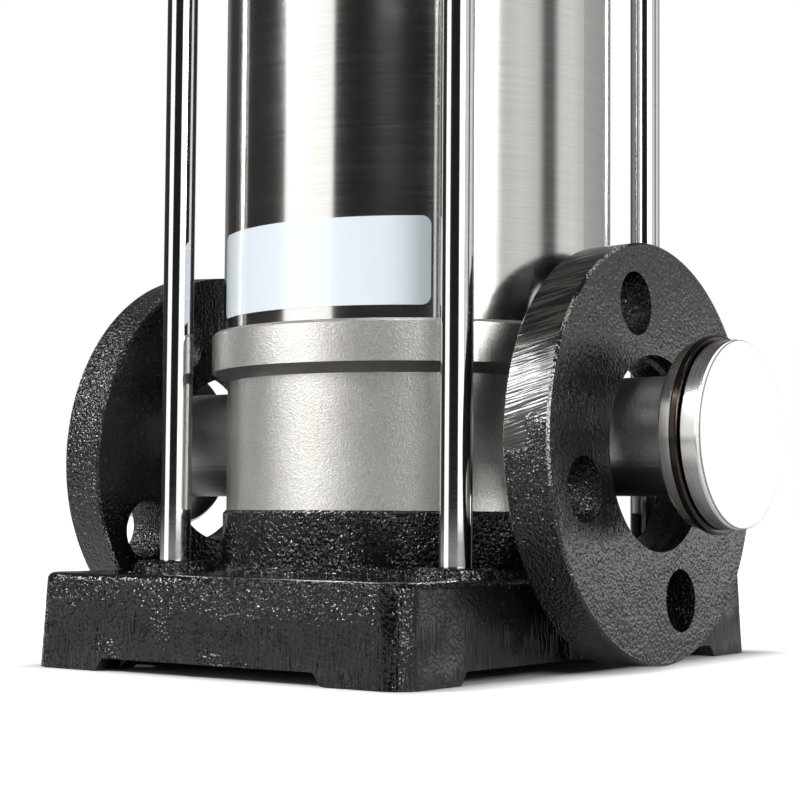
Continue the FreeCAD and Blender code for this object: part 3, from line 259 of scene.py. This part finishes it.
class Shader(Nodes):
    """A material's nodes; its scales are per metre of the object's own coordinates."""

    def __init__(self, name):
        self.material = bpy.data.materials.new(name)
        self.material.use_nodes = True
        super().__init__(self.material.node_tree)
        self.surface = self.tree.nodes["Principled BSDF"]
        self.place = self.node("ShaderNodeTexCoord").outputs["Object"]

    def facing(self, axis):
        """How squarely the surface faces along an axis, from -1 to 1."""
        return self.split(self.node("ShaderNodeNewGeometry").outputs["True Normal"])[axis]

    def along(self, axis):
        """The object's own coordinate along an axis."""
        return self.split(self.place)[axis]

    def stretched(self, scale, lean=0.0):
        """The object's own coordinates, leaned about Y by some degrees and scaled along each axis."""
        leaned = self.node("ShaderNodeVectorRotate", rotation_type="Y_AXIS")
        self.join(self.place, leaned.inputs["Vector"])
        leaned.inputs["Angle"].default_value = math.radians(lean)
        mapping = self.node("ShaderNodeMapping")
        self.join(leaned.outputs["Vector"], mapping.inputs["Vector"])
        mapping.inputs["Scale"].default_value = scale
        return mapping.outputs["Vector"]

    def noise(self, scale, detail=3.0, rough=0.55, place=None, warp=0.0):
        made = self.node("ShaderNodeTexNoise")
        self.join(place or self.place, made.inputs["Vector"])
        made.inputs["Scale"].default_value = scale
        made.inputs["Detail"].default_value = detail
        made.inputs["Roughness"].default_value = rough
        made.inputs["Distortion"].default_value = warp
        return made.outputs["Fac"]

    def cells(self, scale, smooth):
        """Rounded cells: the distance to the nearest of many scattered points, smoothed between them."""
        made = self.node("ShaderNodeTexVoronoi", feature="SMOOTH_F1")
        self.join(self.place, made.inputs["Vector"])
        made.inputs["Scale"].default_value = scale
        made.inputs["Smoothness"].default_value = smooth
        return made.outputs["Distance"]

    def pits(self, scale, core, reach):
        """Scattered round pits: one within their core, nothing beyond their reach."""
        made = self.node("ShaderNodeTexVoronoi", feature="F1")
        self.join(self.place, made.inputs["Vector"])
        made.inputs["Scale"].default_value = scale
        return self.fall(made.outputs["Distance"], core, reach)

    def bump(self, height, depth, under=None):
        """Relief from a height value, as deep as the distance in metres."""
        made = self.node("ShaderNodeBump")
        self.join(height, made.inputs["Height"])
        made.inputs["Strength"].default_value = 1.0
        made.inputs["Distance"].default_value = depth
        if under is not None:
            self.join(under, made.inputs["Normal"])
        return made.outputs["Normal"]

    def finish(self, colour, roughness, normal=None, metallic=0.0, coat=0.0):
        """Puts the finish on the surface and gives back the material."""
        self.put(self.surface.inputs["Base Color"], colour)
        self.put(self.surface.inputs["Roughness"], roughness)
        self.surface.inputs["Metallic"].default_value = metallic
        self.surface.inputs["Coat Weight"].default_value = coat
        self.surface.inputs["Coat Roughness"].default_value = COAT_ROUGHNESS
        if normal is not None:
            self.join(normal, self.surface.inputs["Normal"])
        return self.material


def black_casting():
    """Glossy black paint over a leathery sand-cast skin, with dressed streaks low on the walls."""
    s = Shader("black_casting")
    paint = (0.0030, 0.0032, 0.0036, 1)
    pit = (0.0005, 0.0005, 0.0005, 1)
    level = s.rise(s.facing("Z"), 0.6, 0.9)
    calm = s.rise(s.absolute(s.facing("X")), 0.9, 0.98)
    dressed = s.times(s.fall(s.along("Z"), DRESSED_LOW, DRESSED_HIGH), s.rise(s.noise(45, 1.0), 0.36, 0.46))
    patch = s.ranged(s.noise(34, 2.0), 0.36, 0.60, 0.25, 1.0)
    strength = s.times(patch, s.rest(s.times(dressed, 0.85)))
    strength = s.times(strength, s.rest(s.times(calm, 0.8)))
    strength = s.times(strength, s.rest(s.times(level, 0.9)))
    leather = s.noise(800, 1.0, 0.45, warp=0.6)
    pebbles = s.cells(760, 0.8)
    streaks = s.noise(1.0, 1.0, 0.5, s.stretched((1300, 1300, 60)))
    pits = s.pits(330, 0.05, 0.13)
    relief = s.times(s.plus(leather, s.times(pebbles, 0.6)), strength)
    relief = s.plus(relief, s.times(s.times(streaks, dressed), 0.38))
    relief = s.minus(relief, s.times(pits, 0.25))
    normal = s.bump(relief, 0.0012, s.bump(s.noise(60, 1.0), 0.0008))
    roughness = s.plus(s.spread(s.noise(140, 2.0), 0.06, 0.10), s.times(calm, 0.17))
    s.surface.inputs["Specular IOR Level"].default_value = 0.42
    return s.finish(s.mixed(pits, paint, pit), roughness, normal)


def flange_casting():
    """Black paint with a fine pitted skin, a ground rim on the outlet side and worn flecks on the edges."""
    s = Shader("flange_casting")
    paint = (0.0042, 0.0045, 0.0050, 1)
    pit = (0.0004, 0.0004, 0.0004, 1)
    scratched = (0.030, 0.0265, 0.022, 1)
    worn_bright = (0.34, 0.34, 0.34, 1)

    across = s.absolute(s.facing("X"))
    wall = s.fall(across, 0.25, 0.45)
    face = s.rest(wall)
    from_centre = s.length(s.absolute(s.along("Y")), s.absolute(s.minus(s.along("Z"), FLANGE_Z)))
    outer = s.rise(from_centre, RIM_BEGINS, RIM_FULL)
    edge = s.times(s.times(s.rise(across, 0.25, 0.45), s.fall(across, 0.9, 0.97)), outer)
    wavering = s.plus(s.along("Z"), s.spread(s.noise(60, 1.0), -GROUND_WAVER, GROUND_WAVER))
    ground = s.times(s.rise(wavering, GROUND_LOW, GROUND_HIGH), outer)
    ground = s.times(ground, s.maths("GREATER_THAN", s.along("X"), 0.0))
    ground_wall = s.times(ground, wall)

    pits = s.pits(430, 0.13, 0.19)
    skin = s.noise(820, 1.0, 0.45, warp=0.4)
    leather = s.noise(1000, 1.0, 0.45, warp=0.5)
    marks = s.noise(1.0, 1.5, 0.5, s.stretched((60, 120, 1100), 15))
    on_wall = s.plus(s.times(s.times(marks, ground), 0.40), s.times(s.times(leather, s.rest(ground)), 1.5))
    on_face = s.minus(s.times(skin, 0.42), s.times(pits, 0.5))
    relief = s.plus(s.times(on_face, face), s.times(on_wall, wall))
    normal = s.bump(relief, 0.0006, s.bump(s.noise(70, 1.0), 0.0004))

    worn_above = s.ranged(s.noise(38, 1.0), 0.45, 0.60, 0.74, 0.52)
    flecks = s.times(edge, s.maths("GREATER_THAN", s.noise(1900, 2.0, 0.6), worn_above))
    colour = s.mixed(pits, paint, pit)
    colour = s.mixed(s.times(s.rise(marks, 0.44, 0.60), ground_wall), colour, scratched)
    colour = s.mixed(flecks, colour, worn_bright)
    roughness = s.plus(s.spread(skin, 0.15, 0.21), s.times(wall, -0.07))
    roughness = s.plus(roughness, s.times(ground_wall, 0.09))
    roughness = s.plus(roughness, s.times(s.times(pits, face), 0.7))
    s.surface.inputs["Specular IOR Level"].default_value = 0.55
    return s.finish(colour, roughness, normal)


def blasted_stainless():
    """Cast stainless with a fine pebbled, blasted skin, and painted shade where it faces down."""
    s = Shader("blasted_stainless")
    dull = (0.74, 0.715, 0.675, 1)
    bright = (0.85, 0.825, 0.785, 1)
    between_pebbles = (0.25, 0.24, 0.225, 1)
    # Painted shade for the surfaces that face down
    painted_underside_shade = (0.05, 0.047, 0.042, 1)
    pebbles = s.noise(1700, 1.2, 0.5, warp=0.5)
    fine = s.noise(3200, 1.0, 0.5)
    colour = s.mixed(s.spread(s.noise(26, 3.0, 0.6), 0.0, 1.0), dull, bright)
    colour = s.mixed(s.ranged(pebbles, 0.35, 0.65, 0.30, 0.0), colour, between_pebbles)
    # Painted shade: the colour darkens where the surface faces down
    colour = s.mixed(s.ranged(s.facing("Z"), -0.6, -0.35, 0.75, 0.0), colour, painted_underside_shade)
    normal = s.bump(fine, 0.00003, s.bump(pebbles, 0.00011))
    return s.finish(colour, s.spread(fine, 0.32, 0.40), normal, metallic=1.0)


def grained_steel(name, colour, roughness, grain, depth=0.000006, smear=0.0):
    """Bright steel with a fine grain across the axes whose numbers are large; smear draws its gloss out."""
    s = Shader(name)
    lines = s.noise(1.0, 3.0, 0.65, s.stretched(grain))
    shade = s.mixed(s.rise(lines, 0.35, 0.65), darker(colour, 0.93), colour)
    uneven = s.spread(s.noise(30, 3.0), -0.015, 0.015)
    rough = s.plus(s.spread(lines, roughness * 0.85, roughness * 1.15), uneven)
    s.surface.inputs["Anisotropic"].default_value = smear
    s.surface.inputs["Anisotropic Rotation"].default_value = QUARTER_TURN
    return s.finish(shade, rough, s.bump(lines, depth), metallic=1.0)


def plain_metal(name, colour, roughness):
    """A plain metal with faint clouds."""
    s = Shader(name)
    clouds = s.noise(90, 4.0, 0.6)
    shade = s.mixed(s.spread(clouds, 0.0, 1.0), darker(colour, 0.9), colour)
    rough = s.spread(clouds, roughness * 0.8, roughness * 1.2)
    return s.finish(shade, rough, s.bump(clouds, 0.00001), metallic=1.0)


def moulded(name, colour, roughness, grain=1500, depth=0.00002, coat=0.0):
    """Painted or moulded skin with a fine grain and a little unevenness."""
    s = Shader(name)
    clouds = s.noise(35, 3.0)
    shade = s.mixed(s.spread(clouds, 0.0, 1.0), darker(colour, 0.88), colour)
    rough = s.spread(clouds, roughness * 0.9, roughness * 1.1)
    return s.finish(shade, rough, s.bump(s.noise(grain, 2.0), depth), coat=coat)


def cover_plastic():
    """White moulded plastic whose rounded rim has a painted grey shade line."""
    s = Shader("cover_plastic")
    plain_white = (0.97, 0.97, 0.97, 1)
    # Painted shade: grey on the rounded rim, outlining the white disc
    painted_rim_shade = (0.20, 0.195, 0.185, 1)
    across = s.absolute(s.facing("X"))
    # Where the painted rim shade goes: where the surface turns partly sideways
    rim = s.times(s.rise(across, 0.10, 0.25), s.fall(across, 0.75, 0.88))
    rough = s.spread(s.noise(35, 3.0), 0.32, 0.38)
    return s.finish(s.mixed(rim, plain_white, painted_rim_shade), rough, s.bump(s.noise(900, 2.0), 0.00001))


def label_film():
    """A glossy white film."""
    s = Shader("label_film")
    film = (0.62, 0.68, 0.72, 1)
    faint = s.noise(500, 2.0)
    return s.finish(film, s.spread(faint, 0.09, 0.13), s.bump(faint, 0.000006), coat=1.0)


def all_finishes():
    """The finish of each material slot."""
    rod = (0.72, 0.72, 0.725, 1)
    sheet = (0.66, 0.655, 0.64, 1)
    sleeve = (0.67, 0.655, 0.63, 1)
    return {
        "black_casting": black_casting(),
        "flange_casting": flange_casting(),
        "blasted_stainless": blasted_stainless(),
        "turned_stainless": grained_steel("turned_stainless", (0.68, 0.67, 0.65, 1), 0.24, (5200, 60, 60)),
        "sleeve_stainless": grained_steel("sleeve_stainless", sleeve, 0.144, (26, 26, 1700), smear=0.66),
        "polished_bolt": grained_steel("polished_bolt", rod, 0.07, (90, 90, 500), 0.000002),
        "sheet_stainless": grained_steel("sheet_stainless", sheet, 0.24, (1400, 1400, 40)),
        "plated_steel": plain_metal("plated_steel", (0.60, 0.595, 0.58, 1), 0.28),
        "spring_steel": plain_metal("spring_steel", (0.050, 0.041, 0.034, 1), 0.22),
        "seal_rubber": moulded("seal_rubber", (0.02, 0.02, 0.02, 1), 0.6),
        "seal_face": moulded("seal_face", (0.05, 0.05, 0.055, 1), 0.3),
        "white_plastic": cover_plastic(),
        "motor_aluminium": moulded("motor_aluminium", (0.030, 0.031, 0.034, 1), 0.36, 1300, 0.00006, 0.1),
        "cowl_steel": moulded("cowl_steel", (0.028, 0.029, 0.032, 1), 0.32, 1800, 0.00002, 0.1),
        "black_plastic": moulded("black_plastic", (0.022, 0.022, 0.024, 1), 0.42, 1600, 0.00004),
        "core_steel": plain_metal("core_steel", (0.32, 0.32, 0.33, 1), 0.4),
        "winding_copper": plain_metal("winding_copper", (0.55, 0.22, 0.08, 1), 0.35),
    }


def dress_frame(finishes):
    """Gives each CAD node the finish of its slot."""
    for part in frame["record"]["subparts"]:
        shown = frame["nodes"][part["node"]]
        shown.data.materials.clear()
        shown.data.materials.append(finishes[part["material_slot"]])


def new_piece(name, mesh_maker, material, body):
    """A piece made by a function that fills a bmesh; it rides on a body."""
    mesh = bpy.data.meshes.new(name)
    shape = bmesh.new()
    mesh_maker(shape)
    bmesh.ops.recalc_face_normals(shape, faces=shape.faces)
    shape.to_mesh(mesh)
    shape.free()
    piece = bpy.data.objects.new(name, mesh)
    bpy.context.collection.objects.link(piece)
    mesh.materials.append(material)
    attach(piece, body)


def label_mesh(shape):
    """A thin plate with round corners on the sleeve's -Y side; its columns crowd towards both ends."""
    columns = []
    for step in range(LABEL_STEPS + 1):
        share = (1 - math.cos(math.pi * step / LABEL_STEPS)) / 2
        along = (share - 0.5) * LABEL_LENGTH
        from_end = max(0.0, LABEL_CORNER - min(share, 1 - share) * LABEL_LENGTH)
        inset = LABEL_CORNER - math.sqrt(max(0.0, LABEL_CORNER ** 2 - from_end ** 2))
        angle = -math.pi / 2 + along / SLEEVE_R
        column = []
        for radius in (SLEEVE_R, SLEEVE_R + LABEL_THICK):
            for z in (LABEL_LOW_Z + inset, LABEL_LOW_Z + LABEL_HEIGHT - inset):
                column.append(shape.verts.new((radius * math.cos(angle), radius * math.sin(angle), z)))
        columns.append(column)
    for left, right in zip(columns[:-1], columns[1:]):
        for first, second in ((0, 1), (1, 3), (3, 2), (2, 0)):
            shape.faces.new((left[first], left[second], right[second], right[first]))
    for end in (columns[0], columns[-1]):
        shape.faces.new((end[0], end[1], end[3], end[2]))


def hexagon_reach(angle):
    """How far a hexagon reaches at an angle, as a share of its corners' reach."""
    from_middle = (angle + math.pi / 6) % (math.pi / 3) - math.pi / 6
    return math.cos(math.pi / 6) / math.cos(from_middle)


def screw_mesh(radius, place, out):
    """A button head with a hexagon socket, seated at a place and facing out."""
    def fill(shape):
        rings = []
        for share, rise, hexagonal in SCREW_PROFILE:
            ring = []
            for step in range(SCREW_SIDES):
                angle = 2 * math.pi * step / SCREW_SIDES
                reach = radius * share
                if hexagonal:
                    reach *= hexagon_reach(angle)
                corner = (reach * math.cos(angle), reach * math.sin(angle), radius * rise)
                ring.append(shape.verts.new(corner))
            rings.append(ring)
        for low, high in zip(rings[:-1], rings[1:]):
            for step in range(SCREW_SIDES):
                after = (step + 1) % SCREW_SIDES
                shape.faces.new((low[step], low[after], high[after], high[step]))
        shape.faces.new(rings[0])
        shape.faces.new(rings[-1])
        turn = out.to_track_quat("Z", "Y").to_matrix().to_4x4()
        bmesh.ops.transform(shape, matrix=Matrix.Translation(place) @ turn, verts=shape.verts)
    return fill


def seat_screw(name, node, start, inward, radius, material):
    """A screw where a line from outside first meets a node's surface."""
    solid = bmesh.new()
    solid.from_mesh(frame["nodes"][node].data)
    place, out, _, _ = BVHTree.FromBMesh(solid).ray_cast(start, inward)
    solid.free()
    new_piece(name, screw_mesh(radius, place, out), material, "pump")


def seat_round_screw(name, node, degrees, z, material):
    """A screw on a round node, at an angle about the pump's axis and a height."""
    angle = math.radians(degrees)
    inward = Vector((-math.cos(angle), -math.sin(angle), 0))
    seat_screw(name, node, Vector((0, 0, z)) - inward * OUTSIDE, inward, SCREW_R, material)


def small_screws(material):
    """The screws of both coupling guards, the fan cowl and the terminal box lid."""
    for node, heading in (("coupling_guard_front", -90), ("coupling_guard_rear", 90)):
        low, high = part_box(node)
        count = 0
        for turn in (-GUARD_SCREW_TURN, GUARD_SCREW_TURN):
            for z in (low[2] + GUARD_SCREW_IN, high[2] - GUARD_SCREW_IN):
                count += 1
                seat_round_screw("%s_screw_%d" % (node, count), node, heading + turn, z, material)
    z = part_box("fan_cowl")[0][2] + COWL_SCREW_IN
    for count, turn in enumerate(COWL_SCREW_TURNS):
        seat_round_screw("fan_cowl_screw_%d" % (count + 1), "fan_cowl", turn, z, material)
    low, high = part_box("terminal_box_lid")
    count = 0
    for x in (low[0] + LID_SCREW_IN, high[0] - LID_SCREW_IN):
        for z in (low[2] + LID_SCREW_IN, high[2] - LID_SCREW_IN):
            count += 1
            seat_screw("terminal_lid_screw_%d" % count, "terminal_box_lid", Vector((x, -OUTSIDE, z)),
                       Vector((0, 1, 0)), LID_SCREW_R, material)


def floor_paint():
    """Matt paint, dark between sheet and backdrop, with a glow for the camera that spares the shade."""
    s = Shader("floor_paint")
    measure = s.node("ShaderNodeVectorMath", operation="LENGTH")
    s.join(s.place, measure.inputs[0])
    reach = measure.outputs["Value"]
    dark = s.times(s.rise(reach, SHEET_REACH, SHEET_REACH + SHEET_FADE),
                   s.fall(reach, BACKDROP_REACH, BACKDROP_REACH + BACKDROP_FADE))
    s.surface.inputs["Specular IOR Level"].default_value = 0.0
    s.finish(s.mixed(dark, grey(SHEET_GREY), grey(DARK_GREY)), 0.8)
    beside = []
    for axis in (0, 1):
        past = s.minus(s.absolute(s.along(axis)), FOOTPRINT[axis])
        beside.append(s.maths("MAXIMUM", past, 0.0))
    beyond_shade = s.rise(s.length(beside[0], beside[1]), 0.0, SHADE_REACH)
    strength = s.times(beyond_shade, s.ranged(reach, GLOW_FROM, SHEET_REACH, GLOW_LOW, GLOW_HIGH))
    glow = s.node("ShaderNodeEmission")
    glow.inputs["Color"].default_value = WHITE
    seen = s.node("ShaderNodeLightPath").outputs["Is Camera Ray"]
    s.join(s.times(seen, strength), glow.inputs["Strength"])
    both = s.node("ShaderNodeAddShader")
    s.join(s.surface.outputs[0], both.inputs[0])
    s.join(glow.outputs[0], both.inputs[1])
    s.join(both.outputs[0], s.tree.nodes["Material Output"].inputs["Surface"])
    return s.material


def studio_floor():
    """The floor, a hair below the pump's feet."""
    mesh = bpy.data.meshes.new("floor")
    half = FLOOR_HALF
    corners = [(-half, -half, 0), (half, -half, 0), (half, half, 0), (-half, half, 0)]
    mesh.from_pydata(corners, [], [(0, 1, 2, 3)])
    floor = bpy.data.objects.new("floor", mesh)
    bpy.context.collection.objects.link(floor)
    floor.location.z = -FLOOR_DROP
    mesh.materials.append(floor_paint())


def band_colours(n, angle):
    """The bands' colour for a direction's angle, and the level that their full white stands for."""
    bands = n.node("ShaderNodeValToRGB")
    ramp = bands.color_ramp
    brightest = max(level for _, level in STUDIO_BANDS)
    for index, (degrees, level) in enumerate(STUDIO_BANDS):
        where = (degrees + 180) / 360
        stop = ramp.elements[index] if index < 2 else ramp.elements.new(where)
        stop.position = where
        stop.color = grey(level / brightest)
    n.join(n.rise(angle, -math.pi, math.pi), bands.inputs["Fac"])
    return bands.outputs["Color"], brightest


def studio_world():
    """Even light for matt surfaces, bright bands and dark screens for reflections, white for the camera."""
    world = bpy.data.worlds.new("studio")
    bpy.context.scene.world = world
    world.use_nodes = True
    n = Nodes(world.node_tree)
    n.tree.nodes.clear()

    def background(colour, strength):
        made = n.node("ShaderNodeBackground")
        n.put(made.inputs["Color"], colour)
        made.inputs["Strength"].default_value = strength
        return made.outputs[0]

    turn = n.node("ShaderNodeVectorRotate", rotation_type="Z_AXIS")
    turn.inputs["Angle"].default_value = math.radians(90 - CAMERA_AZIMUTH)
    n.join(n.node("ShaderNodeTexCoord").outputs["Generated"], turn.inputs["Vector"])
    direction = n.split(turn.outputs["Vector"])
    bands, brightest = band_colours(n, n.maths("ARCTAN2", direction["Y"], direction["X"]))
    bands_end = math.sin(math.radians(BANDS_TOP))
    ceiling_start = math.sin(math.radians(BANDS_TOP + BANDS_FADE))
    shown = n.mixed(n.rise(direction["Z"], bands_end, ceiling_start), bands, grey(CEILING_GREY))
    ray = n.node("ShaderNodeLightPath").outputs
    lit = n.either(ray["Is Glossy Ray"], background(grey(1.0), EVEN_LIGHT), background(shown, brightest))
    seen = n.either(ray["Is Camera Ray"], lit, background(WHITE, 1.0))
    n.join(seen, n.node("ShaderNodeOutputWorld").inputs["Surface"])


def soft_lamp(name, degrees, elevation, distance, wide, tall, power):
    """A soft lamp, aimed at the pump, placed by its direction from the photograph's camera."""
    lamp = bpy.data.lights.new(name, "AREA")
    lamp.shape = "RECTANGLE"
    lamp.size = wide
    lamp.size_y = tall
    lamp.energy = power
    made = bpy.data.objects.new(name, lamp)
    bpy.context.collection.objects.link(made)
    turn = math.radians(CAMERA_AZIMUTH - 90 + degrees)
    rise = math.radians(elevation)
    back = Vector((math.cos(turn) * math.cos(rise), math.sin(turn) * math.cos(rise), math.sin(rise)))
    made.location = Vector((0, 0, LAMP_AIM_Z)) + back * distance
    made.rotation_mode = "QUATERNION"
    made.rotation_quaternion = back.to_track_quat("Z", "Y")
    return made


def soft_box(name, degrees, distance, wide, tall, power):
    """An upright soft box that stands on the floor and faces the pump's axis."""
    made = soft_lamp(name, degrees, 0, distance, wide, tall, power)
    made.location.z = tall / 2


def lights():
    """The soft boxes at the left and the right, and the lamps."""
    for name, setting in SOFT_BOXES.items():
        soft_box(name, *setting)
    for name, setting in LAMPS.items():
        soft_lamp(name, *setting)


def camera():
    """The photograph's camera, close to the floor and looking slightly up."""
    azimuth = math.radians(CAMERA_AZIMUTH)
    heading = math.radians(CAMERA_AZIMUTH + CAMERA_YAW)
    pitch = math.radians(CAMERA_PITCH)
    roll = math.radians(CAMERA_ROLL)
    flat = math.cos(pitch)
    look = Vector((-math.sin(heading) * flat, math.cos(heading) * flat, math.sin(pitch)))
    level = look.cross(Vector((0, 0, 1))).normalized()
    upright = level.cross(look)
    right = level * math.cos(roll) + upright * math.sin(roll)
    up = upright * math.cos(roll) - level * math.sin(roll)
    lens = bpy.data.cameras.new("camera")
    lens.sensor_width = SENSOR_MM
    lens.lens = FOCAL_PX * SENSOR_MM / IMAGE_PX
    lens.clip_start = CLIP_START
    made = bpy.data.objects.new("camera", lens)
    bpy.context.collection.objects.link(made)
    made.rotation_mode = "QUATERNION"
    made.rotation_quaternion = Matrix((right, up, -look)).transposed().to_quaternion()
    made.location = (CAMERA_DISTANCE * math.sin(azimuth), -CAMERA_DISTANCE * math.cos(azimuth), CAMERA_HEIGHT)
    bpy.context.scene.camera = made


camera()
studio_world()
lights()
studio_floor()
finishes = all_finishes()
dress_frame(finishes)
new_piece("sleeve_label", label_mesh, label_film(), "pump")
small_screws(finishes["plated_steel"])

bpy.context.scene.view_settings.view_transform = "Standard"
